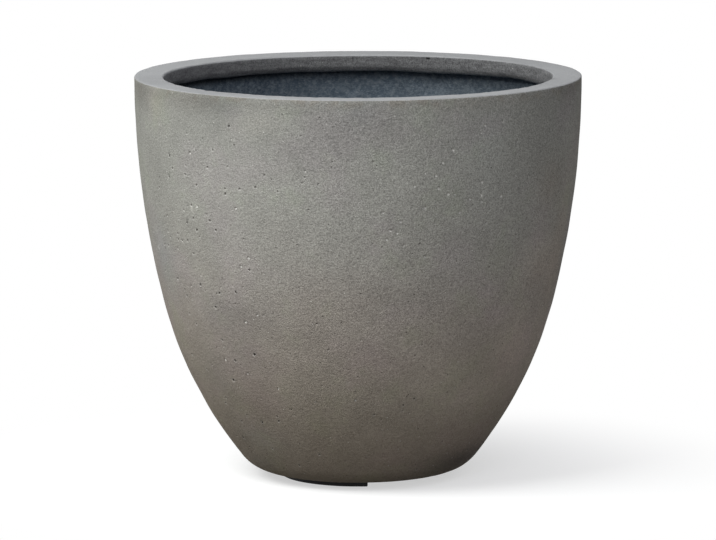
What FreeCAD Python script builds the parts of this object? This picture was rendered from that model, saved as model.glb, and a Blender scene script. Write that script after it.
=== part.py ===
import FreeCAD, Part
import math
import os

# Round egg-shaped planter: a cast shell with a flat rim and a return lip, a fibre lining,
# a rubber drain plug and two curved rubber feet.
# Millimetres, +Z up, the ground at zero, the pot's axis on Z and its front towards -Y.

# Whole pot
rim_diameter = 500.0
pot_height = 452.0

# Shell, of one thickness from the rim to the base
wall_thickness = 9.0
base_flat_diameter = 193.0
base_corner_radius = 46.0

# Lean of the wall from upright, as shares of the slope of a straight line from rim to base flat
turn_lean_share = 0.745  # where the long upper arc hands over to the tighter lower one
base_lean_share = 2.0  # where the lower arc runs into the base corner

# Rim and return lip
rim_width = 33.0
lip_height = 20.0
rim_outer_round = 1.5
rim_inner_round = 3.0
lip_lower_round = 8.0

# Lining, laid on the inside of the shell from the floor up to the lip
lining_thickness = 3.0

# Drain hole and its plug
drain_diameter = 22.0
plug_clearance = 0.05  # all round the stem
plug_stem_recess = 2.0  # from the underside of the base up to the stem's end
plug_lead_height = 3.0
plug_lead_inset = 1.2
plug_flange_lap = 7.0  # of the flange over the lining, all round
plug_flange_edge = 2.0
plug_flange_round = 0.7  # of the flange's edge, above and below
plug_flange_crown = 3.0
plug_crown_bow_share = 0.33
plug_neck_diameter = 10.0
plug_neck_height = 4.0
plug_neck_fillet = 1.4  # where the neck grows out of the crown
plug_knob_diameter = 18.0
plug_knob_thickness = 7.0
plug_dimple_depth = 0.7
plug_dimple_share = 0.9  # of the flat on top of the knob

# Feet: equal arcs on one circle, with wide drainage gaps between them
foot_names = ["foot_front_left", "foot_back_right"]
foot_height = 7.0
foot_inset = 8.5  # from the edge of the base's flat
foot_width = 16.0
foot_round = 1.5
foot_gap_angle = 90.0
foot_start_angle = 186.5  # degrees from +X, where the first foot begins

overrun = 5.0  # how far a cutting tool reaches past what it cuts

# Worked out from the sizes above
rim_radius = rim_diameter / 2
lip_radius = rim_radius - rim_width
lip_underside = pot_height - lip_height
wall_top = pot_height - rim_outer_round
base_radius = base_flat_diameter / 2
base_level = foot_height
seat_level = base_level + wall_thickness + lining_thickness
drain_radius = drain_diameter / 2
spread = math.atan((rim_radius - base_radius) / (pot_height - base_level))
turn_lean = turn_lean_share * spread
base_lean = base_lean_share * spread

axis_start = FreeCAD.Vector(0, 0, 0)
axis_up = FreeCAD.Vector(0, 0, 1)


def point(radius, level):
    return FreeCAD.Vector(radius, 0, level)


def line(start, end):
    return Part.LineSegment(start, end).toShape()


def arc(centre, radius, from_angle, to_angle):
    # Round stretch of an outline, its angles in degrees from the outward direction
    def on_circle(angle):
        turn = math.radians(angle)
        return centre + point(radius * math.cos(turn), radius * math.sin(turn))

    middle = (from_angle + to_angle) / 2
    return Part.Arc(on_circle(from_angle), on_circle(middle), on_circle(to_angle)).toShape()


def lines(points):
    return [line(start, end) for start, end in zip(points, points[1:])]


def revolved(edges, angle=360):
    # Solid swept about the pot's axis by a closed outline in the XZ plane
    face = Part.Face(Part.Wire(edges))
    return face.revolve(axis_start, axis_up, angle)


def wall_radii():
    # Radii of the two wall arcs that leave the rim upright and meet the base corner at its lean:
    # their drops add up to the wall's drop, and their insets to the wall's inset
    drop = wall_top - base_level - base_corner_radius * (1 - math.sin(base_lean))
    inset = rim_radius - base_radius - base_corner_radius * math.cos(base_lean)
    upper_drop = math.sin(turn_lean)
    upper_inset = 1 - math.cos(turn_lean)
    lower_drop = math.sin(base_lean) - math.sin(turn_lean)
    lower_inset = math.cos(turn_lean) - math.cos(base_lean)
    scale = upper_drop * lower_inset - lower_drop * upper_inset
    upper = (drop * lower_inset - inset * lower_drop) / scale
    lower = (inset * upper_drop - drop * upper_inset) / scale
    return upper, lower


def side_edges(depth):
    # Floor, base corner and wall, at a depth inside the outer face, so all on the same centres
    upper, lower = wall_radii()
    upper_centre = point(rim_radius - upper, wall_top)
    outward = point(math.cos(turn_lean), -math.sin(turn_lean))
    lower_centre = upper_centre + outward * (upper - lower)
    corner_centre = point(base_radius, base_level + base_corner_radius)
    floor = base_level + depth
    turn = math.degrees(turn_lean)
    lean = math.degrees(base_lean)
    return [
        line(point(0, floor), point(base_radius, floor)),
        arc(corner_centre, base_corner_radius - depth, -90, -lean),
        arc(lower_centre, lower - depth, -lean, -turn),
        arc(upper_centre, upper - depth, -turn, 0),
    ]


def outer_form():
    # The pot with no hollow, closed over at the rim
    top_round = arc(point(rim_radius - rim_outer_round, wall_top), rim_outer_round, 0, 90)
    closing = lines([
        point(rim_radius - rim_outer_round, pot_height),
        point(0, pot_height),
        point(0, base_level),
    ])
    return revolved(side_edges(0) + [top_round] + closing)


def hollow_form(depth):
    # The space inside, at a depth from the outer face, up to the underside of the lip
    closing = lines([
        point(rim_radius - depth, wall_top),
        point(0, wall_top),
        point(0, base_level + depth),
    ])
    space = revolved(side_edges(depth) + closing)
    below_lip = Part.makeCylinder(rim_radius + overrun, lip_underside)
    return space.common(below_lip)


def mouth_form():
    # The opening through the lip, flared where the lip's inner edges are rounded
    lower = arc(
        point(lip_radius + lip_lower_round, lip_underside + lip_lower_round), lip_lower_round, 270, 180
    )
    upper = arc(
        point(lip_radius + rim_inner_round, pot_height - rim_inner_round), rim_inner_round, 180, 90
    )
    side = line(
        point(lip_radius, lip_underside + lip_lower_round),
        point(lip_radius, pot_height - rim_inner_round),
    )
    closing = lines([
        point(lip_radius + rim_inner_round, pot_height),
        point(lip_radius + rim_inner_round, pot_height + overrun),
        point(0, pot_height + overrun),
        point(0, lip_underside - overrun),
        point(lip_radius + lip_lower_round, lip_underside - overrun),
        point(lip_radius + lip_lower_round, lip_underside),
    ])
    return revolved([lower, side, upper] + closing)


def drain_form():
    return Part.makeCylinder(drain_radius, seat_level + overrun)


def pot_shell():
    return outer_form().cut(hollow_form(wall_thickness)).cut(mouth_form()).cut(drain_form())


def inner_lining():
    whole = hollow_form(wall_thickness)
    space = hollow_form(wall_thickness + lining_thickness)
    return whole.cut(space).cut(drain_form())


def drain_plug():
    # Tapered lead, stem, crowned flange on the lining, neck and a round knob to pull it by
    stem_radius = drain_radius - plug_clearance
    stem_end = base_level + plug_stem_recess
    flange_radius = drain_radius + plug_flange_lap
    flange_inner = flange_radius - plug_flange_round
    flange_top = seat_level + plug_flange_edge
    neck_radius = plug_neck_diameter / 2
    crown_top = flange_top + plug_flange_crown
    neck_top = crown_top + plug_neck_height
    knob_half = plug_knob_thickness / 2
    knob_flat_radius = plug_knob_diameter / 2 - knob_half
    knob_top = neck_top + plug_knob_thickness
    dimple_radius = plug_dimple_share * knob_flat_radius
    lead = lines([
        point(0, stem_end),
        point(stem_radius - plug_lead_inset, stem_end),
        point(stem_radius, stem_end + plug_lead_height),
        point(stem_radius, seat_level),
        point(flange_inner, seat_level),
    ])
    lower_round = arc(point(flange_inner, seat_level + plug_flange_round), plug_flange_round, -90, 0)
    edge = line(
        point(flange_radius, seat_level + plug_flange_round),
        point(flange_radius, flange_top - plug_flange_round),
    )
    upper_round = arc(point(flange_inner, flange_top - plug_flange_round), plug_flange_round, 0, 90)
    # The crown is a shallow arc, bowed upwards at its middle by a share of its rise
    crown_start = point(flange_inner, flange_top)
    crown_end = point(neck_radius + plug_neck_fillet, crown_top)
    crown_middle = (crown_start + crown_end) * (1 / 2) + point(0, plug_crown_bow_share * plug_flange_crown)
    crown = Part.Arc(crown_start, crown_middle, crown_end).toShape()
    fillet = arc(crown_end + point(0, plug_neck_fillet), plug_neck_fillet, -90, -180)
    neck = lines([
        point(neck_radius, crown_top + plug_neck_fillet),
        point(neck_radius, neck_top),
        point(knob_flat_radius, neck_top),
    ])
    knob = arc(point(knob_flat_radius, neck_top + knob_half), knob_half, -90, 90)
    cap = line(point(knob_flat_radius, knob_top), point(dimple_radius, knob_top))
    # The dimple is the cap of a ball on the axis, as wide and as deep as its sizes say
    ball = (dimple_radius ** 2 + plug_dimple_depth ** 2) / (2 * plug_dimple_depth)
    reach = math.degrees(math.asin(dimple_radius / ball))
    dimple = arc(point(0, knob_top - plug_dimple_depth + ball), ball, reach - 90, -90)
    closing = line(point(0, knob_top - plug_dimple_depth), point(0, stem_end))
    outline = lead + [lower_round, edge, upper_round, crown, fillet] + neck
    return revolved(outline + [knob, cap, dimple, closing])


def foot(number):
    # One arc of the ring, with its lower edges rounded
    outer = base_radius - foot_inset
    inner = outer - foot_width
    outline = lines([
        point(inner, foot_round),
        point(inner, base_level),
        point(outer, base_level),
        point(outer, foot_round),
    ])
    outline.append(arc(point(outer - foot_round, foot_round), foot_round, 0, -90))
    outline.append(line(point(outer - foot_round, 0), point(inner + foot_round, 0)))
    outline.append(arc(point(inner + foot_round, foot_round), foot_round, -90, -180))
    pitch = 360 / len(foot_names)
    solid = revolved(outline, pitch - foot_gap_angle)
    solid.rotate(axis_start, axis_up, foot_start_angle + number * pitch)
    return solid


def write(name, shape):
    print(name, "solids", len(shape.Solids), "valid", shape.isValid())
    shape.exportStep("parts/" + name + ".step")


os.makedirs("parts", exist_ok=True)
write("pot_shell", pot_shell())
write("inner_lining", inner_lining())
write("drain_plug", drain_plug())
for number, name in enumerate(foot_names):
    write(name, foot(number))
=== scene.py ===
import math
import bpy
import numpy as np
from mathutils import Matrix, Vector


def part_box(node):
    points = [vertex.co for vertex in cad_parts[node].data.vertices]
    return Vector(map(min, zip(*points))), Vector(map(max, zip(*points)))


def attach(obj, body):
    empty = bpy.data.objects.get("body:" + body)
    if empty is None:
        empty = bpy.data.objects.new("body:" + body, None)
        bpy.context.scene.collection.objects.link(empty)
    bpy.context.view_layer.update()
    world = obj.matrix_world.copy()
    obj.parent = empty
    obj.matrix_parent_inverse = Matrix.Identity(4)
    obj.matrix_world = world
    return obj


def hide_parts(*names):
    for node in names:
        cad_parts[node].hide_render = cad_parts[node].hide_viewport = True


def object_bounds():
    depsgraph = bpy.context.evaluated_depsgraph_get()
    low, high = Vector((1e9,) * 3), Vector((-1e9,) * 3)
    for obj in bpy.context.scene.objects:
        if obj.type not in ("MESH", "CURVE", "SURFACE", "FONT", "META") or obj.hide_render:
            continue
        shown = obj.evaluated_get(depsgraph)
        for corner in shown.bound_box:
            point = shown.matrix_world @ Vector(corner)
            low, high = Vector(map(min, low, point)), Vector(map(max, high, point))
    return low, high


# Egg-shaped fibre clay planter: a cast shell with air holes, a fibre lining, a drain plug and two curved feet
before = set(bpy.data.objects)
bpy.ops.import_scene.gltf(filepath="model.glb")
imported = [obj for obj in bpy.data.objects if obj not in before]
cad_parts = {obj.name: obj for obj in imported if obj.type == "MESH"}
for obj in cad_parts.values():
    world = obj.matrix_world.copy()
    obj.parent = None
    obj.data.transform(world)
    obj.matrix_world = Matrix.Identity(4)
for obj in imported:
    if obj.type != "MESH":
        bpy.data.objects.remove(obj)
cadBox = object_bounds()
shellLow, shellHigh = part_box("pot_shell")
liningLow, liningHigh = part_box("inner_lining")
plugLow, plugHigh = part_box("drain_plug")
mm = 0.001
quarter = math.pi / 2
fullTurn = 2 * math.pi
slack = 1e-12  # metres by which rounding may move the start of a run
print("frame: pot", round(shellHigh.x * 2 / mm), "mm across and", round(shellHigh.z / mm), "mm high")


# Forms: a section is a list of runs in the (radius, height) plane, and a piece is a section carried round
def straight(start, end):
    return {"start": np.array(start), "end": np.array(end), "length": math.dist(start, end)}


def bend(centre, radius, fromAngle, toAngle):
    # angles in radians from the outward direction; where the angle falls, the face looks at the centre
    return {
        "centre": np.array(centre),
        "radius": radius,
        "fromAngle": fromAngle,
        "toAngle": toAngle,
        "length": radius * abs(toAngle - fromAngle),
    }


def bowed(start, end, rise):
    # a shallow bend from start to end that stands out by the rise at its middle: its radius is
    # (half chord squared + rise squared) / (2 rise), and a negative rise makes a hollow
    chord = np.subtract(end, start)
    half = np.hypot(*chord) / 2
    radius = (half ** 2 + rise ** 2) / (2 * abs(rise))
    out = np.array([chord[1], -chord[0]]) / (2 * half) * math.copysign(1, rise)
    centre = np.add(start, end) / 2 - out * (radius - abs(rise))
    middle = math.atan2(out[1], out[0])
    reach = math.copysign(math.asin(half / radius), rise)
    return bend(centre, radius, middle - reach, middle + reach)


def turnedBack(runs):
    # the same bends taken the other way, so that their faces look to the other side
    return [bend(run["centre"], run["radius"], run["toAngle"], run["fromAngle"]) for run in reversed(runs)]


def runEnd(runs):
    return alongRuns(runs, np.array([sum(run["length"] for run in runs)]))[0][0]


def alongRuns(runs, distance):
    # points and outward normals at distances along a section: start + share * (end - start) on a
    # straight run, centre + radius * (cos, sin) on a bend; the normal is the direction of travel
    # turned a quarter to the right
    flat = distance.ravel()
    points = np.zeros(flat.shape + (2,))
    normals = np.zeros(flat.shape + (2,))
    begin = 0.0
    for run in runs:
        here = flat >= begin - slack
        share = rising(flat[here], begin, run["length"])[:, None]
        if "centre" in run:
            angle = run["fromAngle"] + share * (run["toAngle"] - run["fromAngle"])
            spoke = np.concatenate([np.cos(angle), np.sin(angle)], axis=1)
            points[here] = run["centre"] + run["radius"] * spoke
            normals[here] = spoke * math.copysign(1, run["toAngle"] - run["fromAngle"])
        else:
            travel = (run["end"] - run["start"]) / run["length"]
            points[here] = run["start"] + share * (run["end"] - run["start"])
            normals[here] = (travel[1], -travel[0])
        begin += run["length"]
    return points.reshape(distance.shape + (2,)), normals.reshape(distance.shape + (2,))


def rowStops(runs, rows):
    # distances of the rows along a section, in equal steps on each run, without the section's end
    begins = np.cumsum([0.0] + [run["length"] for run in runs[:-1]])
    return np.concatenate([
        begin + run["length"] * np.arange(count) / count
        for begin, run, count in zip(begins, runs, rows.values())
    ])


def runMarks(runs, rows):
    # where each run ends along its section, and its length, under the names that its rows are listed by
    lengths = [run["length"] for run in runs]
    return dict(zip(rows, np.cumsum(lengths))), dict(zip(rows, lengths))


def gridRound(stops, columns):
    # distance along a section and angle about the axis, on a grid that closes round the axis
    return np.meshgrid(stops, np.arange(columns) * (fullTurn / columns), indexing="ij")


def rising(distance, start, length):
    # from 0 at the start to 1 a length further on
    return np.clip((distance - start) / length, 0, 1)


def falling(distance, end, length):
    # from 1 a length before the end to 0 at the end
    return np.clip((end - distance) / length, 0, 1)


def bell(distance, middle, reach):
    # exp(-(x / reach) squared), where x is the distance from the middle
    return np.exp(-((distance - middle) / reach) ** 2)


def nearest(angle):
    # the same angle within half a turn either way
    return np.mod(angle + math.pi, fullTurn) - math.pi


def carriedRound(points, angle):
    # (radius, height) at an angle about the axis becomes (radius cos, radius sin, height)
    radius = points[..., 0]
    return np.stack([radius * np.cos(angle), radius * np.sin(angle), points[..., 1]], axis=-1)


def gridFaces(rows, columns, rowsClosed, columnsClosed):
    # quads of a grid of points, which may close on itself along its rows, its columns or both
    low = np.arange(rows if rowsClosed else rows - 1)[:, None] * columns
    high = (low + columns) % (rows * columns)
    left = np.arange(columns if columnsClosed else columns - 1)[None, :]
    right = (left + 1) % columns
    return np.stack([low + left, low + right, high + right, high + left], axis=-1)


def fan(ring, onward, tip):
    # triangles from a ring's points, and the points after them, to one tip
    return np.stack([ring, onward, np.full(len(ring), tip)], axis=-1)


def rippleSet(rng, count, shortest, longest, radius):
    # plane waves in random directions, each a whole number of waves round the pot so that they meet
    waveNumber = fullTurn / np.exp(rng.uniform(np.log(shortest), np.log(longest), count))
    heading = rng.uniform(0, fullTurn, count)
    return {
        "around": np.round(waveNumber * np.cos(heading) * radius),
        "along": waveNumber * np.sin(heading),
        "phase": rng.uniform(0, fullTurn, count),
    }


def rippled(ripples, angle, distance):
    # sum of the waves' cosines, scaled so that its spread is about one
    total = np.zeros(np.broadcast(angle, distance).shape)
    for around, along, phase in zip(ripples["around"], ripples["along"], ripples["phase"]):
        total += np.cos(around * angle + along * distance + phase)
    return total * math.sqrt(2 / len(ripples["phase"]))


def makePiece(name, points, quads, triangles, body, node, material):
    # drops points that no face uses, then makes the mesh, smooth all over, in place of a node
    used, corners = np.unique(np.concatenate([quads.ravel(), triangles.ravel()]), return_inverse=True)
    quadCorners = corners[:quads.size].reshape(-1, 4)
    triangleCorners = corners[quads.size:].reshape(-1, 3)
    mesh = bpy.data.meshes.new(name)
    mesh.from_pydata(points[used], [], [*quadCorners.tolist(), *triangleCorners.tolist()])
    mesh.polygons.foreach_set("use_smooth", np.ones(len(mesh.polygons), dtype=bool))
    mesh.materials.append(material)
    piece = bpy.data.objects.new(name, mesh)
    bpy.context.scene.collection.objects.link(piece)
    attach(piece, body)
    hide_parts(node)
    print(name + ":", len(quadCorners) * 2 + len(triangleCorners), "triangles")
    return piece, used


# Node trees: a wire is an output socket, and sums and products of wires add their own nodes
class Wire:
    def __init__(self, tree, socket):
        self.tree = tree
        self.socket = socket

    def add(self, kind, settings=None, sockets=None, output=0):
        # any node: its settings first, then the values or wires of its sockets
        node = self.tree.nodes.new("ShaderNode" + kind)
        for name, value in (settings or {}).items():
            if name == "stops":
                self.setStops(node.color_ramp, value)
            else:
                setattr(node, name, value)
        for key, value in (sockets or {}).items():
            socket = node.inputs[key]
            if isinstance(value, Wire):
                self.tree.links.new(value.socket, socket)
            elif socket.type == "RGBA":
                socket.default_value = (*value, 1.0)
            else:
                socket.default_value = value
        return Wire(self.tree, node.outputs[output]) if node.outputs else None

    def setStops(self, ramp, stops):
        ramp.interpolation = "B_SPLINE"
        while len(ramp.elements) < len(stops):
            ramp.elements.new(1.0)
        for element, (position, colour) in zip(ramp.elements, stops):
            element.position = position
            element.color = (*colour, 1.0)

    def other(self, output):
        # another output of the same node
        return Wire(self.tree, self.socket.node.outputs[output])

    def joined(self, operation, first, second):
        kind = "VectorMath" if self.socket.type == "VECTOR" else "Math"
        return self.add(kind, {"operation": operation}, {0: first, 1: second})

    def __add__(self, number):
        return self.joined("ADD", self, number)

    def __radd__(self, number):
        return self.joined("ADD", number, self)

    def __sub__(self, number):
        return self.joined("SUBTRACT", self, number)

    def __rsub__(self, number):
        return self.joined("SUBTRACT", number, self)

    def __mul__(self, number):
        return self.joined("MULTIPLY", self, number)

    def __rmul__(self, number):
        return self.joined("MULTIPLY", number, self)

    def larger(self, number):
        return self.joined("MAXIMUM", self, number)

    def length(self):
        return self.add("VectorMath", {"operation": "LENGTH"}, {0: self}, output="Value")

    def between(self, low, high):
        # the low colour where this is 0, and the high colour where it is 1; a Mix node's sockets for
        # colours are 6 and 7
        return self.add("Mix", {"data_type": "RGBA"}, {0: self, 6: low, 7: high}, output=2)

    def shading(self, colour):
        # the colour made darker or lighter by this share
        settings = {"data_type": "RGBA", "blend_type": "MULTIPLY"}
        return self.add("Mix", settings, {0: 1.0, 6: colour, 7: self}, output=2)

    def step(self, start, end):
        # a smooth change from 0 at start to 1 at end
        sockets = {"Value": self, "From Min": start, "From Max": end}
        return self.add("MapRange", {"interpolation_type": "SMOOTHSTEP"}, sockets)

    def share(self, start, end, amount):
        # a smooth change from 0 at start to the amount at end
        return self.step(start, end) * amount

    def swing(self, amount):
        # a pattern between 0 and 1 as a swing about zero
        return (self - 0.5) * amount

    def slanted(self, middle, slope):
        # a value at the middle that changes by the slope for each metre
        return self * slope + middle

    def moved(self, shift=None, squeeze=None):
        # where a pattern is read: shifted apart from the others, or squeezed along an axis
        place = self + shift if shift else self
        return place * squeeze if squeeze else place

    def noise(self, scale, detail, roughness, distortion=0.0, **apart):
        sockets = {
            "Vector": self.moved(**apart),
            "Scale": scale,
            "Detail": detail,
            "Roughness": roughness,
            "Distortion": distortion,
        }
        return self.add("TexNoise", None, sockets)

    def attribute(self, name):
        return self.add("Attribute", {"attribute_name": name}, None, output="Fac")

    def dots(self, scale, radius, share, core=0.5, sure=0.9, **apart):
        # round dots, one in each cell for a share of the cells, with a radius in cells; they are full
        # within the core's share of the radius, and the last few of the cells have faint ones
        cells = self.add("TexVoronoi", None, {"Vector": self.moved(**apart), "Scale": scale})
        chosen = cells.other("Color").step(1 - share, 1 - share * sure)
        return (1 - cells.step(radius * core, radius)) * chosen


def newMaterial(name):
    material = bpy.data.materials.new(name)
    material.use_nodes = True
    tree = material.node_tree
    tree.nodes.clear()
    return material, Wire(tree, tree.nodes.new("ShaderNodeTexCoord").outputs["Object"])


def closeMaterial(place, colour, roughness, relief, fixed):
    bump = {"Height": relief, "Distance": fixed["depth"], "Strength": fixed["bump"]}
    normal = place.add("Bump", None, bump)
    sockets = {
        "Base Color": colour,
        "Roughness": roughness,
        "Normal": normal,
        "Specular IOR Level": fixed["shine"],
    }
    place.add("OutputMaterial", None, {"Surface": place.add("BsdfPrincipled", None, sockets)})


# Shell: egg-shaped wall of two arcs, a base corner, a flat rim and the lip inside it
wallForm = {
    "baseFlat": 96.5 * mm,
    "baseRound": 46 * mm,
    "turnLean": 0.745,  # where the arcs meet, as a share of the straight slope from rim to base flat
    "baseLean": 2.0,  # where the lower arc runs into the base corner
    "thickness": liningLow.z - shellLow.z,
    "drain": 11 * mm,
    "liningThickness": 3 * mm,
}
rimForm = {
    "width": 33 * mm,
    "outerRound": 1.5 * mm,
    "innerRound": 3 * mm,
    "lowerRound": 8 * mm,
    "lipUnder": liningHigh.z,
}
shellGrid = {
    "columns": 400,
    "rows": {  # of each run, in the order of shellRuns
        "underside": 6, "corner": 16, "lowerWall": 52, "upperWall": 73, "rimOuter": 4, "rimTop": 7,
        "rimInner": 4, "lip": 4, "lipLower": 6, "lipUnder": 3, "insideUpper": 4, "insideLower": 4,
        "insideCorner": 3, "floor": 2, "drain": 2,
    },
}
wallFinish = {
    "seed": 11,
    "waves": {"swell": 30, "edges": 40, "sag": 20},
    "swell": 0.12 * mm,  # soft unevenness of the wall
    "swellLengths": (30 * mm, 140 * mm),
    "swellGirth": 0.8,  # share of the rim's radius that its waves run round
    "swellFade": (40 * mm, 20 * mm),  # over which it sets in at the base and dies away at the lip
    "edges": (0.07 * mm, 0.2 * mm),  # wear along the rim's outer and inner edge
    "edgeLengths": (9 * mm, 30 * mm),
    "edgeReach": 3 * mm,
    "droop": 1.0 * mm,  # how much lower the lip's underside hangs, and its unevenness
    "sag": 0.5 * mm,
    "sagLengths": (60 * mm, 260 * mm),
    "droopFade": (4 * mm, 8 * mm),  # how far from the wall the droop ends, and over which length
    "rimFall": 0.9 * mm,  # how much lower the rim is at its inner edge
}
# Air holes that show most, in crowds: degrees to the right of the front, height in mm, how far the holes
# of a crowd spread either way in both, and how many they are
holeCrowds = {
    "seed": 5,
    "plain": [
        (-38, 365, 15, 28, 18), (-48, 300, 14, 26, 16), (-45, 220, 12, 22, 12), (-42, 130, 12, 30, 8),
        (-46, 55, 12, 16, 6),
    ],
    "pale": [  # with pale floors, painted light where the holes' inner walls catch the lamp
        (22, 365, 13, 28, 15), (22, 315, 12, 15, 8), (-38, 330, 8, 30, 4), (-30, 220, 10, 20, 4),
        (-20, 140, 14, 25, 4),
    ],
    "levels": (30, 440),  # lowest and highest hole, in mm
    "radius": (1.2, 2.2),  # in mm
    "stretch": (0.8, 1.8),  # upwards
    # dirt or a scratch at the longest holes: least stretch, half width and half height in mm, tone
    "scratch": {"stretch": 1.65, "halfWidth": 1.3, "halfHeight": 2.2, "tone": 0.4},
}
strayHoles = {
    "seed": 23,
    "count": 660,
    "radius": (0.45 * mm, 1.6 * mm),
    "smallness": 0.5,  # power of the draw, where less makes more of the holes small
    "stretch": (0.8, 1.8),
    "shade": (-0.5, 0.9),  # from a pale floor, painted light, to a dark one, partly dirt and partly painted shade
    "depthShare": (0.5, 0.95),  # of the radius
    "lean": 0.4,  # radians either way
    "margins": (10 * mm, 8 * mm),  # kept free at the base and under the rim
    "samples": 2000,  # of the wall, for looking up a height
    "pull": 0.6,  # share of the way to the grid's nearest point that a hole moves to have room
    "room": 1.3,  # how much farther off than the outermost ring the edge of a hole's cells is, at least
    "wobbles": (0.14, 0.10),  # how far its outline is from round, in two lobes and in three
    # rings of a hole from the edge in: share of the radius and of the depth, and how far each takes its
    # shade;
    # the outer rings' negative shares paint a pale rim round a dark hole and a dark rim round a pale one,
    # painted light and painted shade on its edge
    "rings": [(1.2, 0.0, -0.12), (1.03, 0.04, -0.6), (0.82, 0.56, 0.8), (0.45, 0.94, 1.0)],
}
# Soft stains mixed with painted light and shade: degrees to the right of the front, height, half width and
# half height in mm, tone and warmth; the lighter patches on the right side are painted light, and the dark
# one low at 62 degrees is painted shade at the base
stainsAndPaintedLight = [
    (-43, 446, 75, 14, -0.24, 0.4), (-35, 440, 30, 18, -0.10, -0.4), (-15, 443, 28, 12, -0.14, 0.0),
    (0, 425, 55, 22, -0.14, 0.0), (0, 440, 20, 20, -0.08, -0.3), (-28, 425, 40, 15, 0.06, 0.3),
    (-63, 436, 18, 25, 0.06, 0.6), (-77, 446, 50, 20, -0.24, 0.4), (-39, 418, 22, 16, -0.08, 0.0),
    (28, 446, 60, 10, -0.07, 0.3), (-12, 397, 60, 25, -0.08, 0.0), (35, 392, 35, 60, 0.12, -0.2),
    (96, 372, 75, 75, 0.26, 1.0), (12, 362, 25, 20, 0.09, 0.0), (60, 344, 30, 30, -0.06, 0.8),
    (72, 280, 24, 75, 0.08, 1.0), (60, 262, 40, 35, 0.14, 0.8), (-68, 255, 25, 40, 0.0, -0.8),
    (-32, 205, 50, 28, -0.16, -0.2), (-45, 208, 30, 25, -0.09, -0.3), (-14, 190, 22, 14, -0.08, 0.0),
    (-39, 162, 28, 22, -0.12, -0.3), (24, 146, 38, 30, 0.22, 0.0), (53, 165, 35, 40, 0.17, 0.3),
    (82, 142, 55, 48, 0.36, 0.0), (40, 108, 50, 24, 0.21, -0.1), (-52, 130, 30, 35, -0.06, -0.3),
    (-40, 100, 35, 20, -0.10, 0.1), (9, 68, 25, 18, 0.09, 0.0), (-44, 60, 35, 20, 0.0, -0.8),
    (62, 27, 70, 17, -0.62, -0.3), (-52, 27, 30, 12, -0.10, -0.5), (68, 446, 45, 10, -0.2, 0.2),
    (71, 400, 24, 20, 0.15, 0.0), (63, 148, 32, 50, 0.15, 0.0),
]
# Knock just under the rim's inner edge, sizes in mm; its near-black colour is painted shade in the dent
rimKnock = {
    "degrees": 158.2,
    "under": 3.7,
    "halfWidth": 3.0,
    "halfHeight": 1.4,
    "depth": 1.4,
    "colour": (0.012, 0.012, 0.012),
    "colourEdge": (1.1, 0.7),  # from where to where it darkens, in half sizes
}


def wallRuns(depth, top):
    # base corner, lower arc and upper arc at a depth inside the outer face, up to a height: the two
    # arcs leave the rim upright and meet the corner at its lean, so their drops and insets add up to
    # the wall's
    form = wallForm
    wallTop = shellHigh.z - rimForm["outerRound"]
    spread = math.atan((shellHigh.x - form["baseFlat"]) / (shellHigh.z - shellLow.z))
    turn = form["turnLean"] * spread
    lean = form["baseLean"] * spread
    drop = wallTop - shellLow.z - form["baseRound"] * (1 - math.sin(lean))
    inset = shellHigh.x - form["baseFlat"] - form["baseRound"] * math.cos(lean)
    rises = [
        [math.sin(turn), math.sin(lean) - math.sin(turn)],
        [1 - math.cos(turn), math.cos(turn) - math.cos(lean)],
    ]
    upper, lower = np.linalg.solve(rises, [drop, inset])
    upperCentre = np.array([shellHigh.x - upper, wallTop])
    lowerCentre = upperCentre + (upper - lower) * np.array([math.cos(turn), -math.sin(turn)])
    cornerCentre = np.array([form["baseFlat"], shellLow.z + form["baseRound"]])
    topAngle = math.asin((top - wallTop) / (upper - depth))
    return [
        bend(cornerCentre, form["baseRound"] - depth, -quarter, -lean),
        bend(lowerCentre, lower - depth, -lean, -turn),
        bend(upperCentre, upper - depth, -turn, topAngle),
    ]


def shellRuns():
    # from the drain along the underside, up the wall, over the rim and lip, and down the inside again
    rim = rimForm
    outer = shellHigh.x - rim["outerRound"]
    lip = shellHigh.x - rim["width"]
    inner = lip + rim["innerRound"]
    under = lip + rim["lowerRound"]
    top = shellHigh.z
    low = rim["lipUnder"]
    floor = shellLow.z + wallForm["thickness"]
    inside = wallRuns(wallForm["thickness"], low)
    return [
        straight((wallForm["drain"], shellLow.z), (wallForm["baseFlat"], shellLow.z)),
        *wallRuns(0.0, top - rim["outerRound"]),
        bend((outer, top - rim["outerRound"]), rim["outerRound"], 0, quarter),
        straight((outer, top), (inner, top)),
        bend((inner, top - rim["innerRound"]), rim["innerRound"], quarter, 2 * quarter),
        straight((lip, top - rim["innerRound"]), (lip, low + rim["lowerRound"])),
        bend((under, low + rim["lowerRound"]), rim["lowerRound"], 2 * quarter, 3 * quarter),
        straight((under, low), tuple(runEnd(inside))),
        *turnedBack(inside),
        straight((wallForm["baseFlat"], floor), (wallForm["drain"], floor)),
        straight((wallForm["drain"], floor), (wallForm["drain"], shellLow.z)),
    ]


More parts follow.
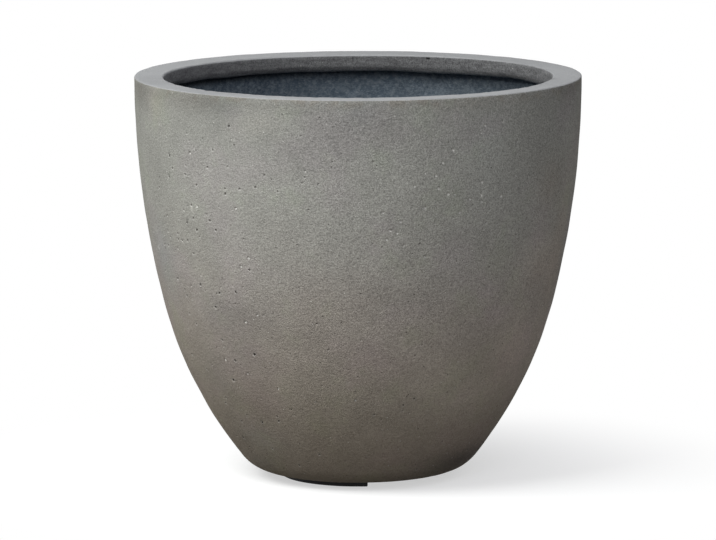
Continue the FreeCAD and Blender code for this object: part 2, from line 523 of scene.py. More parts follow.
def shellSurface(runs):
    # the section at each distance, pushed out along its normal by the swell of the wall, the fall and
    # wear of the rim, the sag of the lip and the knock
    finish = wallFinish
    rng = np.random.default_rng(finish["seed"])
    waves = finish["waves"]
    swell = rippleSet(rng, waves["swell"], *finish["swellLengths"], shellHigh.x * finish["swellGirth"])
    wear = rippleSet(rng, waves["edges"], *finish["edgeLengths"], shellHigh.x)
    sag = rippleSet(rng, waves["sag"], *finish["sagLengths"], shellHigh.x)
    ends, spans = runMarks(runs, shellGrid["rows"])
    edges = [ends["upperWall"] + spans["rimOuter"] / 2, ends["rimTop"] + spans["rimInner"] / 2]
    setIn, dieAway = finish["swellFade"]
    droopGap, droopFade = finish["droopFade"]
    knockAngle = math.radians(rimKnock["degrees"] - 90) % fullTurn
    knockAt = ends["rimInner"] + rimKnock["under"] * mm - rimForm["innerRound"]

    def at(distance, angle, depth=0.0):
        points, normals = alongRuns(runs, distance)
        shown = rising(distance, ends["underside"], setIn) * falling(distance, ends["lipLower"], dieAway)
        out = finish["swell"] * shown * rippled(swell, angle, distance)
        fall = rising(distance, ends["rimOuter"], spans["rimTop"])
        fall = fall * falling(distance, ends["rimInner"], spans["rimInner"])
        out = out - finish["rimFall"] * fall
        worn = sum(
            size * bell(distance, edge, finish["edgeReach"])
            for size, edge in zip(finish["edges"], edges)
        )
        out = out - worn * np.clip(rippled(wear, angle, distance), 0, None)
        lower = rising(distance, ends["lip"], spans["lipLower"])
        lower = lower * falling(distance, ends["lipUnder"] - droopGap, droopFade)
        out = out + lower * (finish["droop"] + finish["sag"] * rippled(sag, angle, distance))
        across = (angle - knockAngle) * points[..., 0] / (rimKnock["halfWidth"] * mm)
        along = (distance - knockAt) / (rimKnock["halfHeight"] * mm)
        out = out - rimKnock["depth"] * mm * np.exp(-across ** 2 - along ** 2)
        return carriedRound(points + normals * (out - depth)[..., None], angle)

    return at


def crowdedHoles():
    # holes scattered round the middle of their crowd, heights and radii in mm
    crowds = holeCrowds
    rng = np.random.default_rng(crowds["seed"])
    rows = np.array(crowds["plain"] + crowds["pale"])
    counts = rows[:, -1].astype(int)
    total = counts.sum()
    plain = counts[:len(crowds["plain"])].sum()
    degrees, level, wide, tall = np.repeat(rows[:, :-1], counts, axis=0).T
    return {
        "degrees": degrees + wide * rng.normal(size=total),
        "level": np.clip(level + tall * rng.normal(size=total), *crowds["levels"]),
        "radius": rng.uniform(*crowds["radius"], total),
        "stretch": rng.uniform(*crowds["stretch"], total),
        "shade": np.repeat([1.0, -1.0], [plain, total - plain]),
    }


def crowdScratches():
    # rows like those of the stains and painted light, one on the grid's nearest column to each of the longest
    # holes
    crowded = crowdedHoles()
    scratch = holeCrowds["scratch"]
    step = 360 / shellGrid["columns"]
    same = np.ones_like(crowded["level"])
    rows = np.stack([
        np.round(crowded["degrees"] / step) * step, crowded["level"], scratch["halfWidth"] * same,
        scratch["halfHeight"] * crowded["stretch"], -scratch["tone"] * crowded["shade"], 0 * same,
    ], axis=1)
    return rows[crowded["stretch"] > scratch["stretch"]]


def drawHoles(runs):
    # the holes of the crowds, then stray holes over the whole wall
    stray = strayHoles
    rng = np.random.default_rng(stray["seed"])
    ends = runMarks(runs, shellGrid["rows"])[0]
    wallDistances = np.linspace(ends["underside"], ends["upperWall"], stray["samples"])
    wallHeights = alongRuns(runs, wallDistances)[0][:, 1]
    crowded = crowdedHoles()
    crowdAngle = np.radians(crowded["degrees"] - 90)
    placed = len(crowdAngle)
    count = stray["count"]
    small, large = stray["radius"]
    baseMargin, rimMargin = stray["margins"]
    strayRadius = small + (large - small) * rng.power(stray["smallness"], count)
    radius = np.concatenate([crowded["radius"] * mm, strayRadius])
    return {
        "distance": np.concatenate([
            np.interp(crowded["level"] * mm, wallHeights, wallDistances),
            rng.uniform(ends["underside"] + baseMargin, ends["upperWall"] - rimMargin, count),
        ]),
        "angle": np.concatenate([crowdAngle, rng.uniform(0, fullTurn, count)]) % fullTurn,
        "radius": radius,
        "stretch": np.concatenate([crowded["stretch"], rng.uniform(*stray["stretch"], count)]),
        "shade": np.concatenate([crowded["shade"], rng.uniform(*stray["shade"], count)]),
        "depth": radius * rng.uniform(*stray["depthShare"], placed + count),
        "turn": rng.uniform(-stray["lean"], stray["lean"], placed + count),
        "wobbleTwo": rng.uniform(0, fullTurn, placed + count),
        "wobbleThree": rng.uniform(0, fullTurn, placed + count),
    }


def roomFor(holes, stops, columns):
    # each hole takes the two by two cells round the grid's nearest point, and moves towards that point;
    # a hole whose cells are taken is left out
    step = fullTurn / columns
    row = np.searchsorted((stops[1:] + stops[:-1]) / 2, holes["distance"]) - 1
    column = np.round(holes["angle"] / step).astype(int) - 1
    holes["distance"] += strayHoles["pull"] * (stops[row + 1] - holes["distance"])
    holes["angle"] += strayHoles["pull"] * ((column + 1) * step - holes["angle"])
    taken = np.zeros((len(stops), columns), dtype=bool)
    kept = []
    for number, (i, j) in enumerate(zip(row, column)):
        block = np.ix_(np.arange(i, i + 2), np.arange(j, j + 2) % columns)
        if not taken[block].any():
            taken[block] = True
            kept.append(number)
    return {name: values[kept, None] for name, values in holes.items()}, row[kept], column[kept], taken


def sinkHoles(surface, runs, stops, columns, points, quads):
    # the eight points round a hole's cells stay, and rings of eight inside them run down to its floor:
    # a ring's point lies towards its edge point, at radius * ring share * wobble, sunk along the normal
    # by depth * share
    spot, row, column, filled = roomFor(drawHoles(runs), stops, columns)
    edgeRow = np.array([0, 0, 0, 1, 2, 2, 2, 1])
    edgeColumn = np.array([0, 1, 2, 2, 2, 1, 0, 0])
    step = fullTurn / columns
    rows = row[:, None] + edgeRow
    turns = column[:, None] + edgeColumn
    girth = alongRuns(runs, spot["distance"])[0][..., 0]
    upwards = stops[rows] - spot["distance"]
    across = nearest(turns * step - spot["angle"]) * girth
    heading = np.arctan2(upwards, across)
    outermost = strayHoles["rings"][0][0]
    room = np.hypot(upwards, across).min(axis=1, keepdims=True) / (outermost * strayHoles["room"])
    wide = np.minimum(spot["radius"], room)
    tall = np.minimum(spot["radius"] * spot["stretch"], room)
    leaning = heading - spot["turn"]
    reach = 1 / np.hypot(np.cos(leaning) / wide, np.sin(leaning) / tall)
    twoLobes, threeLobes = strayHoles["wobbles"]
    reach = reach * (1 + twoLobes * np.cos(2 * heading + spot["wobbleTwo"]))
    reach = reach * (1 + threeLobes * np.cos(3 * heading + spot["wobbleThree"]))
    rings = [rows * columns + turns % columns]
    newPoints = []
    shade = [np.zeros(len(points))]
    start = len(points)
    for share, sunk, taken in strayHoles["rings"]:
        distance = spot["distance"] + reach * share * np.sin(heading)
        angle = spot["angle"] + reach * share * np.cos(heading) / girth
        newPoints.append(surface(distance, angle, spot["depth"] * sunk).reshape(-1, 3))
        shade.append((taken * spot["shade"] * np.ones_like(heading)).ravel())
        rings.append(start + np.arange(heading.size).reshape(heading.shape))
        start += heading.size
    newPoints.append(surface(spot["distance"], spot["angle"], spot["depth"]).reshape(-1, 3))
    shade.append(spot["shade"].ravel())
    middle = np.broadcast_to(start + np.arange(len(row))[:, None], heading.shape)
    holeQuads = [
        np.stack([outer, np.roll(outer, -1, 1), np.roll(inner, -1, 1), inner], axis=-1).reshape(-1, 4)
        for outer, inner in zip(rings, rings[1:])
    ]
    triangles = np.stack([rings[-1], np.roll(rings[-1], -1, 1), middle], axis=-1).reshape(-1, 3)
    print("air holes:", len(row))
    allQuads = np.concatenate([quads[~filled], *holeQuads])
    return np.concatenate([points, *newPoints]), allQuads, triangles, np.concatenate(shade)


def toneWithPaintedLight(points):
    # tone and warmth at the points, stains mixed with painted light and shade: the sum of each row times
    # exp(-(across / half width)^2 - (up / half height)^2)
    rows = np.concatenate([np.array(stainsAndPaintedLight), crowdScratches()])
    degrees, level, wide, tall, tone, warmth = rows.T
    girth = np.hypot(points[:, 0], points[:, 1])[:, None]
    turn = np.arctan2(points[:, 0], -points[:, 1])[:, None] - np.radians(degrees)
    across = nearest(turn) * girth
    upwards = points[:, 2:] - level * mm
    reach = np.exp(-(across / (wide * mm)) ** 2 - (upwards / (tall * mm)) ** 2)
    return reach @ tone, reach @ warmth


def makeShell(material):
    grid = shellGrid
    runs = shellRuns()
    stops = rowStops(runs, grid["rows"])
    columns = grid["columns"]
    surface = shellSurface(runs)
    points = surface(*gridRound(stops, columns)).reshape(-1, 3)
    quads = gridFaces(len(stops), columns, True, True)
    points, quads, triangles, shade = sinkHoles(surface, runs, stops, columns, points, quads)
    piece, used = makePiece(
        "clay_shell", points, quads, triangles, "pot", "pot_shell", material
    )
    tone, warmth = toneWithPaintedLight(points[used])
    for name, values in {"hole": shade[used], "tone": tone, "warmth": warmth}.items():
        attribute = piece.data.attributes.new(name, "FLOAT", "POINT")
        attribute.data.foreach_set("value", values.astype(np.float32))


# Cast fibre clay: cloudy grey, browner towards the base, with sand grain, pinholes and a smoother rim
clayLook = {
    "byHeight": [  # share of the pot's height, colour
        (0.00, (0.261, 0.226, 0.190)),
        (0.12, (0.278, 0.243, 0.206)),
        (0.25, (0.315, 0.284, 0.243)),
        (0.45, (0.333, 0.301, 0.276)),
        (0.62, (0.324, 0.320, 0.299)),
        (0.80, (0.305, 0.305, 0.286)),
        (1.00, (0.256, 0.259, 0.244)),
    ],
    "clouds": {"scale": 10.0, "detail": 3.0, "roughness": 0.55},
    "patches": {"scale": 21.0, "detail": 3.0, "roughness": 0.6, "shift": (3, 1, 2)},
    "mottle": {"scale": 70.0, "detail": 3.0, "roughness": 0.55, "shift": (7, 4, 1)},
    "grain": {"scale": 680.0, "detail": 2.0, "roughness": 0.6},
    "sand": {"scale": 280.0, "detail": 2.0, "roughness": 0.5},
    "drift": 0.16,  # how far the clouds move the colours up and down, as a share of the height
    "violet": {"tint": (1.00, 0.965, 1.00), "within": (0.50, 0.68)},  # in the clouds
    "green": {"tint": (0.955, 0.983, 0.94), "within": (0.52, 0.70)},  # in the patches
    "cool": (0.955, 1.0, 1.02),
    "warm": (1.07, 1.0, 0.95),
    "cloudTone": 0.25,  # how much lighter and darker each pattern makes the clay
    "patchTone": 0.30,
    "mottleTone": 0.16,
    "grainTone": 1.5,
    "sandTone": (0.36, 0.8),  # at the middle and per metre to the right; its rise to the right is painted light, the relief as grazing light shows it
    "grainByHeight": (0.02, 0.28, 0.5),  # heights between which the grain gains this share
    "grainAcross": (-0.18, 0.0, 0.4),  # and the same from the left to the middle: painted light, the relief showing more where the light grazes
    "grainLeast": (0.5, 0.77),  # share that it has at the base and on the left
    "worn": {"colour": (0.205, 0.180, 0.152), "within": (0.48, 0.64), "below": (14 * mm, 3 * mm)},
    "wornShare": 0.45,
    "rim": {"colour": (0.285, 0.287, 0.293), "below": (1.2 * mm, 0.5 * mm)},
    "rimCalm": {"clouds": 0.6, "stainsAndPaintedLight": 0.5, "grit": 0.7, "relief": 0.6},  # how much less shows on the rim
    "lip": {
        "dark": (0.094, 0.093, 0.096),
        "light": (0.142, 0.142, 0.144),
        "streaks": {"scale": 75.0, "detail": 3.0, "roughness": 0.6, "squeeze": (1, 1, 4)},
        "streaked": (0.3, 0.7),  # between which dark turns to light
        "above": (0.40, 0.41),  # heights in metres between which it sets in
        "reach": (22 * mm, 20 * mm),  # how far out from its edge it ends
        "below": (2.1 * mm, 3.3 * mm),  # depths under the rim between which its dark coat begins
        "rise": 0.0065,  # how much higher the coat reaches, per metre to the right
        "middle": 0.85,
        "sides": (-0.8, 8.0),  # shares per metre and per square metre away from the middle: painted light, paler towards the sides
        "under": (1.2, 3.5),  # how much paler it is underneath, at the middle and per metre to the right: painted light on the lower round
        "underDepth": 1 * mm,  # how far below its underside it is palest
    },
    "speck": {"colour": (0.640, 0.630, 0.600), "share": 0.55},
    "specks": {"scale": 150.0, "radius": 0.15, "share": 0.26},
    # the colour of painted shade in the pinholes, also used to darken the holes
    "pinhole": {"colour": (0.070, 0.064, 0.056), "share": 0.5},
    "pinholes": {"scale": 110.0, "radius": 0.13, "share": 0.3, "shift": (0.4, 0.2, 0.1)},
    "holeDarkAtBase": 0.95,  # share of darkening in the lowest holes, partly dirt and partly painted shade in the hollows
    "lighterHigher": [(0.10, 0.20, 0.17), (0.22, 0.32, 0.42)],  # heights between which this much of it goes
    # share of the pale colour on pale floors and rims, painted light
    "holePale": 0.8,
    "roughness": 0.92,
    "roughnessTone": 0.12,
    "rimSheen": 0.1,
    "relief": {"grain": 0.6, "sand": 0.6, "pinholes": 1.2, "specks": 0.3},
    "fixed": {"depth": 1.2 * mm, "bump": 0.8, "shine": 0.15},
}


def clayMaterial():
    look = clayLook
    material, place = newMaterial("cast_fibre_clay")
    across = place.add("SeparateXYZ", None, {0: place})
    height = across.other("Z")
    radius = (place * (1, 1, 0)).length()
    top = shellHigh.z
    lipRadius = shellHigh.x - rimForm["width"]

    def below(depths):
        # heights at two depths under the rim
        return [top - depth for depth in depths]

    # cloudy patches over a colour that changes with height
    clouds = place.noise(**look["clouds"])
    patches = place.noise(**look["patches"])
    mottle = place.noise(**look["mottle"])
    level = height * (1 / top) + clouds.swing(look["drift"])
    colour = place.add("ValToRGB", {"stops": look["byHeight"]}, {0: level})
    for pattern, patch in ((clouds, look["violet"]), (patches, look["green"])):
        colour = pattern.step(*patch["within"]).between((1, 1, 1), patch["tint"]).shading(colour)
    tint = (place.attribute("warmth") * 0.5 + 0.5).between(look["cool"], look["warm"])
    colour = tint.shading(colour)
    # brown wear in places under the rim's edge, the sanded rim, and the lip that kept the lining's dark coat
    worn, rimLook, lipLook = look["worn"], look["rim"], look["lip"]
    edge = height.step(*below(worn["below"]))
    colour = (edge * mottle.share(*worn["within"], look["wornShare"])).between(colour, worn["colour"])
    outwards = [lipRadius + reach for reach in lipLook["reach"]]
    innerSide = height.step(*lipLook["above"]) * radius.step(*outwards)
    rim = height.step(*below(rimLook["below"])).larger(innerSide)
    colour = rim.between(colour, rimLook["colour"])
    coatHeight = height - across.larger(0.0) * lipLook["rise"]
    lip = innerSide * coatHeight.step(*below(lipLook["below"]))
    streaks = place.noise(**lipLook["streaks"])
    lipColour = streaks.step(*lipLook["streaked"]).between(lipLook["dark"], lipLook["light"])
    # painted light: the lip paler towards its sides and on its lower round
    leaning, bowing = lipLook["sides"]
    lipToneAndPaintedLight = across * leaning + across * across * bowing + lipLook["middle"]
    roundMiddle = rimForm["lipUnder"] + rimForm["lowerRound"] / 2
    underside = height.step(roundMiddle, rimForm["lipUnder"] - lipLook["underDepth"])
    lipToneAndPaintedLight = lipToneAndPaintedLight + underside * across.slanted(*lipLook["under"])
    colour = lip.between(colour, lipToneAndPaintedLight.shading(lipColour))
    calm = {name: 1 - rim * share for name, share in look["rimCalm"].items()}
    cloudy = clouds.swing(look["cloudTone"]) + patches.swing(look["patchTone"])
    cloudy = cloudy + mottle.swing(look["mottleTone"])
    # the tone attribute holds stains mixed with painted light and shade
    tone = place.attribute("tone")
    colour = (cloudy * calm["clouds"] + tone * calm["stainsAndPaintedLight"] + 1.0).shading(colour)
    # sand grain, calmer near the base and on the left, light specks, dark pinholes, holes and the knock; the
    # dark of the pinholes and the knock is painted shade in their hollows, and that of the holes partly so
    grain = place.noise(**look["grain"])
    sand = place.noise(**look["sand"])
    # the stronger grain from the left to the middle and right is painted light: the relief as grazing light
    # shows it
    atBase, onLeft = look["grainLeast"]
    lively = (height.share(*look["grainByHeight"]) + atBase) * (across.share(*look["grainAcross"]) + onLeft)
    grit = grain.swing(look["grainTone"]) * lively + sand.swing(across.slanted(*look["sandTone"]))
    colour = (grit * (calm["grit"] + lip) + 1.0).shading(colour)
    speck, pinhole = look["speck"], look["pinhole"]
    specks = place.dots(**look["specks"])
    colour = (specks * speck["share"]).between(colour, speck["colour"])
    # the pinholes' dark colour is painted shade in the tiny hollows
    pinholes = place.dots(**look["pinholes"]) * (1 - rim)
    colour = (pinholes * pinhole["share"]).between(colour, pinhole["colour"])
    # the holes' floors darken, more towards the base: partly dirt, partly painted shade in the hollows;
    # pale floors and rims are painted light
    hole = place.attribute("hole")
    holeDarkening = look["holeDarkAtBase"]
    for low, high, share in look["lighterHigher"]:
        holeDarkening = holeDarkening - height.share(low, high, share)
    colour = (hole.larger(0.0) * holeDarkening).between(colour, pinhole["colour"])
    colour = ((0.0 - hole).larger(0.0) * look["holePale"]).between(colour, speck["colour"])
    # the knock is painted near black, painted shade in its dent
    bearing = math.radians(rimKnock["degrees"])
    knockAt = (math.sin(bearing) * lipRadius, -math.cos(bearing) * lipRadius, top - rimKnock["under"] * mm)
    wide = 1 / (rimKnock["halfWidth"] * mm)
    knock = ((place - knockAt) * (wide, wide, 1 / (rimKnock["halfHeight"] * mm))).length()
    colour = knock.step(*rimKnock["colourEdge"]).between(colour, rimKnock["colour"])
    roughness = mottle.swing(look["roughnessTone"]) - rim * look["rimSheen"] + look["roughness"]
    relief = look["relief"]
    bumps = (grain * relief["grain"] + sand * relief["sand"]) * calm["relief"]
    bumps = bumps - pinholes * relief["pinholes"] + specks * relief["specks"]
    closeMaterial(place, colour, roughness, bumps, look["fixed"])
    return material


# Lining: the inside of the shell again, with the lumps of a hand-laid mat on the side that shows
liningForm = {
    "seed": 5,
    "columns": 320,
    "rows": {  # of each run, from the drain up the back, and down the face again
        "underside": 2, "backCorner": 3, "backLower": 8, "backUpper": 8, "edge": 1, "faceUpper": 72,
        "faceLower": 52, "faceCorner": 12, "floor": 14, "drain": 2,
    },
    "lump": 0.4 * mm,
    "lumpLengths": (12 * mm, 60 * mm),
    "lumpWaves": 60,
    "edgeFade": 6 * mm,
    "drainFade": (10 * mm, 15 * mm),  # how far from the drain the lumps end, and over which length
}


def makeLining(material):
    form = liningForm
    rng = np.random.default_rng(form["seed"])
    outside = wallRuns(wallForm["thickness"], liningHigh.z)
    inside = wallRuns(wallForm["thickness"] + wallForm["liningThickness"], liningHigh.z)
    floor = liningLow.z + wallForm["liningThickness"]
    drain = wallForm["drain"]
    flat = wallForm["baseFlat"]
    runs = [
        straight((drain, liningLow.z), (flat, liningLow.z)),
        *outside,
        straight(tuple(runEnd(outside)), tuple(runEnd(inside))),
        *turnedBack(inside),
        straight((flat, floor), (drain, floor)),
        straight((drain, floor), (drain, liningLow.z)),
    ]
    stops = rowStops(runs, form["rows"])
    columns = form["columns"]
    distance, turn = gridRound(stops, columns)
    points, normals = alongRuns(runs, distance)
    # lumps stand on the face only, and fade out at the top edge and round the drain
    ends = runMarks(runs, form["rows"])[0]
    drainGap, drainFade = form["drainFade"]
    shown = rising(distance, ends["edge"], form["edgeFade"])
    shown = shown * falling(distance, ends["floor"] - drainGap, drainFade)
    ripples = rippleSet(rng, form["lumpWaves"], *form["lumpLengths"], liningHigh.x)
    out = form["lump"] * shown * rippled(ripples, turn, distance)
    points = carriedRound(points + normals * out[..., None], turn)
    quads = gridFaces(len(stops), columns, True, True)
    makePiece(
        "fibre_lining", points.reshape(-1, 3), quads, np.zeros((0, 3), dtype=int),
        "pot", "inner_lining", material,
    )


# Fibre laminate: dark blue-grey coat over a coarse chopped fibre mat
liningLook = {
    "coat": (0.050, 0.069, 0.091),
    "thin": (0.160, 0.186, 0.210),
    "mat": {"scale": 210.0, "detail": 3.0, "roughness": 0.6, "distortion": 0.3},
    "patches": {"scale": 26.0, "detail": 3.0, "roughness": 0.6, "shift": (2, 5, 3)},
    "strands": {"scale": 400.0, "detail": 2.0, "roughness": 0.5, "distortion": 0.5, "squeeze": (1, 1, 2.2)},
    "matShows": (0.35, 0.72, 0.6),  # from, to and how much
    "strandsShow": (0.45, 0.75, 0.5),
    "patchTone": 0.4,
    "paintedShadeToRight": 1.7,  # share per metre by which the coat darkens towards the right: painted shade on the right, painted light on the left
    "corner": (13 * mm, 2 * mm),  # below the top, where the corner under the lip begins and is full
    "paintedLightUnderLip": (0.0, 6.0),  # how much paler it is there, at the middle and per metre to the right: painted light on the right, painted shade on the left
    "darkest": 0.2,
    "roughness": 0.8,
    "roughnessTone": 0.2,
    "relief": {"mat": 0.7, "strands": 0.5},
    "fixed": {"depth": 1.5 * mm, "bump": 0.7, "shine": 0.3},
}


def liningMaterial():
    look = liningLook
    material, place = newMaterial("fibre_laminate")
    across = place.add("SeparateXYZ", None, {0: place})
    height = across.other("Z")
    mat = place.noise(**look["mat"])
    patches = place.noise(**look["patches"])
    strands = place.noise(**look["strands"])
    shade = mat.share(*look["matShows"]) + strands.share(*look["strandsShow"])
    shade = shade + patches.swing(look["patchTone"])
    colour = shade.between(look["coat"], look["thin"])
    # painted shade towards the right and painted light towards the left, and in the corner under the lip
    # painted light on the right and painted shade on the left
    corner = height.step(*[liningHigh.z - depth for depth in look["corner"]])
    cornerPaintedLight = (corner * across.slanted(*look["paintedLightUnderLip"]) + 1.0).larger(look["darkest"])
    colour = ((1 - across * look["paintedShadeToRight"]) * cornerPaintedLight).shading(colour)
    roughness = mat.swing(look["roughnessTone"]) + look["roughness"]
    bumps = mat * look["relief"]["mat"] + strands * look["relief"]["strands"]
    closeMaterial(place, colour, roughness, bumps, look["fixed"])
    return material


# Plug: tapered lead, stem with two sealing grooves, crowned flange, waisted neck and a round knob
plugForm = {
    "columns": 96,
    "rows": {  # of each run, from the lower pole to the upper one
        "end": 6, "lead": 4, "stem": 18, "seat": 5, "flangeLower": 4, "flangeEdge": 2, "flangeUpper": 4,
        "crown": 12, "neckFillet": 6, "neck": 2, "knobFillet": 6, "knob": 24, "cap": 3, "dimple": 8,
    },
    "stem": 10.95 * mm,
    "leadHeight": 3 * mm,
    "leadInset": 1.2 * mm,
    "edge": 2 * mm,
    "edgeRound": 0.7 * mm,
    "crown": 3 * mm,
    "crownBow": 0.99 * mm,
    "neck": 5 * mm,
    "neckHeight": 4 * mm,
    "neckFillet": 1.4 * mm,
    "knobFillet": 0.45 * mm,
    "knob": 9 * mm,
    "dimple": 5 * mm,
    "dimpleDepth": 0.7 * mm,
    "dimpleBow": 1 / 3,  # of its depth
    "groove": 0.35 * mm,
    "grooveHeights": (13.5 * mm, 16 * mm),
    "grooveReach": 0.55 * mm,
    "seam": 0.14 * mm,  # mould line round the knob
    "seamReach": 0.3 * mm,
}


def makePlug(material):
    # a section from pole to pole, carried round; grooves and mould line are bumps of exp(-x squared) along it
    form = plugForm
    low, top, flange = plugLow.z, plugHigh.z, plugHigh.x
    seat = liningLow.z + wallForm["liningThickness"]
    soft = form["edgeRound"]
    crownFoot = (flange - soft, seat + form["edge"])
    crownTop = seat + form["edge"] + form["crown"]
    neck = form["neck"]
    fillet = form["neckFillet"]
    knobFillet = form["knobFillet"]
    neckTop = crownTop + form["neckHeight"]
    half = (top - neckTop) / 2
    knobFlat = form["knob"] - half
    dimpleLow = top - form["dimpleDepth"]
    runs = [
        straight((0, low), (form["stem"] - form["leadInset"], low)),
        straight((form["stem"] - form["leadInset"], low), (form["stem"], low + form["leadHeight"])),
        straight((form["stem"], low + form["leadHeight"]), (form["stem"], seat)),
        straight((form["stem"], seat), (flange - soft, seat)),
        bend((flange - soft, seat + soft), soft, -quarter, 0),
        straight((flange, seat + soft), (flange, seat + form["edge"] - soft)),
        bend((flange - soft, seat + form["edge"] - soft), soft, 0, quarter),
        bowed(crownFoot, (neck + fillet, crownTop), form["crownBow"]),
        bend((neck + fillet, crownTop + fillet), fillet, -quarter, -2 * quarter),
        straight((neck, crownTop + fillet), (neck, neckTop - knobFillet)),
        bend((neck + knobFillet, neckTop - knobFillet), knobFillet, 2 * quarter, quarter),
        bend((knobFlat, neckTop + half), half, -quarter, quarter),
        straight((knobFlat, top), (form["dimple"], top)),
        bowed((form["dimple"], top), (0, dimpleLow), -form["dimpleDepth"] * form["dimpleBow"]),
    ]
    stops = rowStops(runs, form["rows"])[1:]
    columns = form["columns"]
    distance, turn = gridRound(stops, columns)
    points, normals = alongRuns(runs, distance)
    ends, spans = runMarks(runs, form["rows"])
    out = form["seam"] * bell(distance, ends["knobFillet"] + spans["knob"] / 2, form["seamReach"])
    onStem = (distance > ends["lead"]) & (distance < ends["stem"])
    for level in form["grooveHeights"]:
        out -= onStem * form["groove"] * bell(points[..., 1], level, form["grooveReach"])
    ring = carriedRound(points + normals * out[..., None], turn).reshape(-1, 3)
    poles = np.array([[0, 0, low], [0, 0, dimpleLow]])
    around = np.arange(columns)
    onward = np.roll(around, -1)
    last = (len(stops) - 1) * columns
    caps = [fan(onward, around, len(ring)), fan(last + around, last + onward, len(ring) + 1)]
    quads = gridFaces(len(stops), columns, False, True)
    makePiece(
        "rubber_plug", np.concatenate([ring, poles]), quads, np.concatenate(caps),
        "plug", "drain_plug", material,
    )


# Feet: a strip of rubber on edge, bent to the base's ring, with soft ends
footForm = {
    "starts": {"foot_front_left": 186.5, "foot_back_right": 6.5},  # degrees from +X
    "sweep": 90,
    "outer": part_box("foot_back_right")[1].y,
    "width": 16 * mm,
    "lowerRound": 1.5 * mm,
    "upperRound": 0.4 * mm,
    "endRound": 0.8 * mm,
    "endSteps": 5,
    "endFaces": (2.6 * mm, 1.6 * mm),  # how far the rings on an end's face are from its edge
    "stations": 110,
    "rows": {  # of each run round the section
        "bottom": 8, "lowerOuter": 6, "outer": 6, "upperOuter": 3, "top": 8, "upperInner": 3, "inner": 6,
        "lowerInner": 6,
    },
    "swell": 0.08 * mm,
    "swellLengths": (10 * mm, 40 * mm),
    "swellWaves": 30,
    "seed": 31,
}


def makeFoot(node, material):
    # a rounded oblong section carried along the arc; each end shrinks by the end's round, then to a point
    form = footForm
    outer = form["outer"]
    inner = outer - form["width"]
    top = shellLow.z
    low = form["lowerRound"]
    high = form["upperRound"]
    runs = [
        straight((inner + low, 0), (outer - low, 0)),
        bend((outer - low, low), low, -quarter, 0),
        straight((outer, low), (outer, top - high)),
        bend((outer - high, top - high), high, 0, quarter),
        straight((outer - high, top), (inner + high, top)),
        bend((inner + high, top - high), high, quarter, 2 * quarter),
        straight((inner, top - high), (inner, low)),
        bend((inner + low, low), low, 2 * quarter, 3 * quarter),
    ]
    stops = rowStops(runs, form["rows"])
    girth = (outer + inner) / 2
    bendShare = np.linspace(0, quarter, form["endSteps"], endpoint=False)
    inset = form["endRound"] * (1 - np.sin(bendShare))
    lag = form["endRound"] * (1 - np.cos(bendShare)) / girth
    start = math.radians(form["starts"][node])
    sweep = math.radians(form["sweep"])
    body = np.linspace(form["endRound"] / girth, sweep - form["endRound"] / girth, form["stations"])
    # along the arc: the end face, the end's round, the strip, and the same back to the other end
    along = np.concatenate([[0, 0], lag, body, sweep - lag[::-1], [sweep, sweep]])
    ends = np.array(form["endFaces"])
    shrink = np.concatenate([ends, inset, np.zeros(len(body)), inset[::-1], ends[::-1]])
    section, normals = alongRuns(runs, stops)
    rng = np.random.default_rng(form["seed"] + round(form["starts"][node]))
    ripples = rippleSet(rng, form["swellWaves"], *form["swellLengths"], girth)
    distance, angle = np.meshgrid(stops, start + along, indexing="ij")
    side = np.abs(normals[:, :1])  # only the sides are uneven, so that the strip stands and seats flat
    out = form["swell"] * side * rippled(ripples, angle, distance) * (shrink == 0)
    middle = np.array([girth, top / 2])
    halves = np.array([form["width"], top]) / 2
    scale = 1 - shrink[None, :, None] / halves
    points = middle + (section - middle)[:, None, :] * scale + normals[:, None, :] * out[..., None]
    rows, columns = distance.shape
    tips = carriedRound(np.array([middle, middle]), start + np.array([0, sweep]))
    points = np.concatenate([carriedRound(points, angle).reshape(-1, 3), tips])
    ring = np.arange(rows) * columns
    onward = np.roll(ring, -1)
    final = columns - 1
    faces = [fan(ring, onward, rows * columns), fan(onward + final, ring + final, rows * columns + 1)]
    quads = gridFaces(rows, columns, True, False)
    makePiece(
        "rubber_" + node, points, quads, np.concatenate(faces), "pot", node, material
    )


# Rubber: black and matt, with a pale bloom and dust
rubberLook = {
    "black": (0.016, 0.016, 0.017),
    "bloom": (0.060, 0.057, 0.052),
    "bloomNoise": {"scale": 55.0, "detail": 3.0, "roughness": 0.6},
    "dustNoise": {"scale": 240.0, "detail": 2.0, "roughness": 0.5},
    "pebbleNoise": {"scale": 900.0, "detail": 2.0, "roughness": 0.5},
    "bloomShows": (0.42, 0.72, 0.7),  # from, to and how much
    "dustShows": (0.5, 0.75, 0.3),
    "roughness": 0.66,
    "roughnessTone": 0.3,
    "fixed": {"depth": 0.3 * mm, "bump": 0.35, "shine": 0.3},
    "plugBloom": 0.6,
    "footBloom": 0.5,
}


def rubberMaterial(name, bloomShare):
    look = rubberLook
    material, place = newMaterial(name)
    bloom = place.noise(**look["bloomNoise"])
    pebble = place.noise(**look["pebbleNoise"])
    dust = place.noise(**look["dustNoise"])
    share = (bloom.share(*look["bloomShows"]) + dust.share(*look["dustShows"])) * bloomShare
    colour = share.between(look["black"], look["bloom"])
    roughness = bloom.swing(look["roughnessTone"]) + look["roughness"]
    closeMaterial(place, colour, roughness, pebble, look["fixed"])
    return material


makeShell(clayMaterial())
makeLining(liningMaterial())
makePlug(rubberMaterial("plug_rubber", rubberLook["plugBloom"]))
footRubber = rubberMaterial("foot_rubber", rubberLook["footBloom"])
for footNode in footForm["starts"]:
    makeFoot(footNode, footRubber)

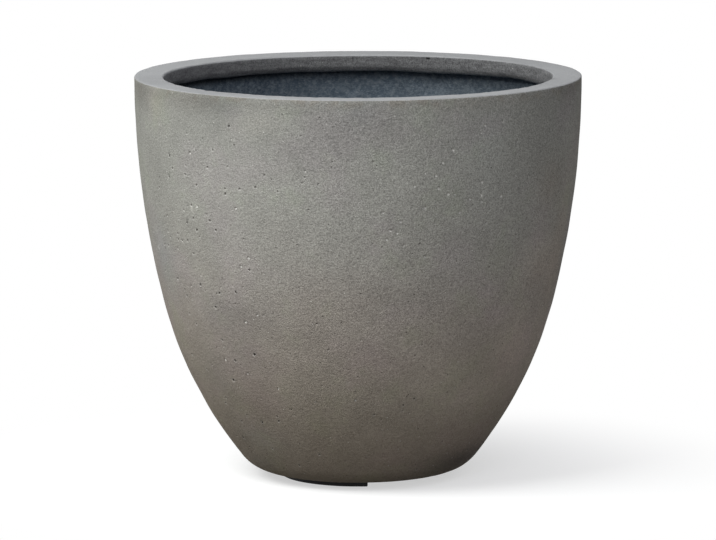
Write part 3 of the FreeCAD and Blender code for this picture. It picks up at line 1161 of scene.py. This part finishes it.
# Camera: the photograph's angle, from a long way off
photoWidth = 716  # px
cameraSet = {
    "position": (-0.45 * mm, -6.0, 1.1179),
    "downwards": 8.407,  # degrees
    "roll": -0.12,
    "focalLength": 5397,  # px
    "sensor": 36.0,
}


def makeCamera():
    data = bpy.data.cameras.new("camera")
    data.sensor_width = cameraSet["sensor"]
    data.lens = cameraSet["focalLength"] * cameraSet["sensor"] / photoWidth
    camera = bpy.data.objects.new("camera", data)
    camera.location = cameraSet["position"]
    camera.rotation_euler = (math.radians(90 - cameraSet["downwards"]), 0, 0)
    camera.rotation_euler.rotate_axis("Z", math.radians(cameraSet["roll"]))
    bpy.context.scene.collection.objects.link(camera)
    bpy.context.scene.camera = camera


# Lamps: degrees to the right of the front and above the pot's middle, distance and size in metres, watts
softboxes = {
    "key": {
        "azimuth": -53,
        "elevation": 46,
        "distance": 2.6,
        "size": (1.8, 1.8),
        "power": 84,
        "tint": (0.983, 1.0, 0.98),
    },
    "fill": {
        "azimuth": 12,
        "elevation": 32,
        "distance": 2.8,
        "size": (1.8, 1.4),
        "power": 20,
        "tint": (0.985, 1.0, 1.04),
    },
}


def softbox(name, setting):
    data = bpy.data.lights.new(name, "AREA")
    data.shape = "RECTANGLE"
    data.size, data.size_y = setting["size"]
    data.energy = setting["power"]
    data.color = setting["tint"]
    lamp = bpy.data.objects.new(name, data)
    middle = (cadBox[0] + cadBox[1]) / 2
    azimuth = math.radians(setting["azimuth"])
    elevation = math.radians(setting["elevation"])
    away = middle.copy()
    away.x = math.sin(azimuth) * math.cos(elevation)
    away.y = -math.cos(azimuth) * math.cos(elevation)
    away.z = math.sin(elevation)
    lamp.location = middle + away * setting["distance"]
    lamp.rotation_euler = away.to_track_quat("Z", "Y").to_euler()
    bpy.context.scene.collection.objects.link(lamp)


# Floor and room: white to the camera, and a darker grey in what they throw back at the pot
studioLook = {
    "half": 18.0,  # metres
    "pale": (0.55, 0.55, 0.55),
    "glow": 0.55,
    "bounce": (0.16, 0.15, 0.13),
    "fadeFrom": 0.14,  # metres from the pot's axis, over which the shadow fades out
    "fadeTo": 0.5,
    "ambient": 0.27,
    "ambientTint": (0.985, 1.0, 1.06),
}


def seenRays(wire):
    # 1 for rays that show the background: from the camera, or by way of gloss or glass
    path = wire.add("LightPath", output="Is Camera Ray")
    return path.larger(path.other("Is Glossy Ray")).larger(path.other("Is Transmission Ray"))


def makeFloor():
    look = studioLook
    half = look["half"]
    mesh = bpy.data.meshes.new("floor")
    corners = [(-half, -half, 0), (half, -half, 0), (half, half, 0), (-half, half, 0)]
    mesh.from_pydata(corners, [], [(0, 1, 2, 3)])
    material, place = newMaterial("pale_floor")
    far = place.length().step(look["fadeFrom"], look["fadeTo"])
    pale = place.add("BsdfDiffuse", None, {"Color": look["pale"]})
    glow = place.add("Emission", None, {"Strength": look["glow"]})
    near = place.add("AddShader", None, {0: pale, 1: glow})
    white = place.add("Emission", None, {"Strength": 1.0})
    seen = place.add("MixShader", None, {0: far, 1: near, 2: white})
    dull = place.add("BsdfDiffuse", None, {"Color": look["bounce"]})
    shown = place.add("MixShader", None, {0: seenRays(place), 1: dull, 2: seen})
    # clear from below, so that the base can be looked at
    below = place.add("NewGeometry", output="Backfacing")
    clear = place.add("BsdfTransparent")
    place.add("OutputMaterial", None, {0: place.add("MixShader", None, {0: below, 1: shown, 2: clear})})
    mesh.materials.append(material)
    floor = bpy.data.objects.new("floor", mesh)
    bpy.context.scene.collection.objects.link(floor)


def makeRoom():
    world = bpy.data.worlds.new("studio")
    world.use_nodes = True
    tree = world.node_tree
    tree.nodes.clear()
    start = Wire(tree, tree.nodes.new("ShaderNodeTexCoord").outputs["Generated"])
    ambient = {"Color": studioLook["ambientTint"], "Strength": studioLook["ambient"]}
    room = start.add("Background", None, ambient)
    white = start.add("Background", None, {"Color": (1, 1, 1), "Strength": 1.0})
    start.add("OutputWorld", None, {0: start.add("MixShader", None, {0: seenRays(start), 1: room, 2: white})})
    bpy.context.scene.world = world


makeCamera()
for lampName, lampSetting in softboxes.items():
    softbox(lampName, lampSetting)
makeFloor()
makeRoom()
bpy.context.scene.view_settings.view_transform = "Standard"
print("studio:", len(softboxes), "lamps")
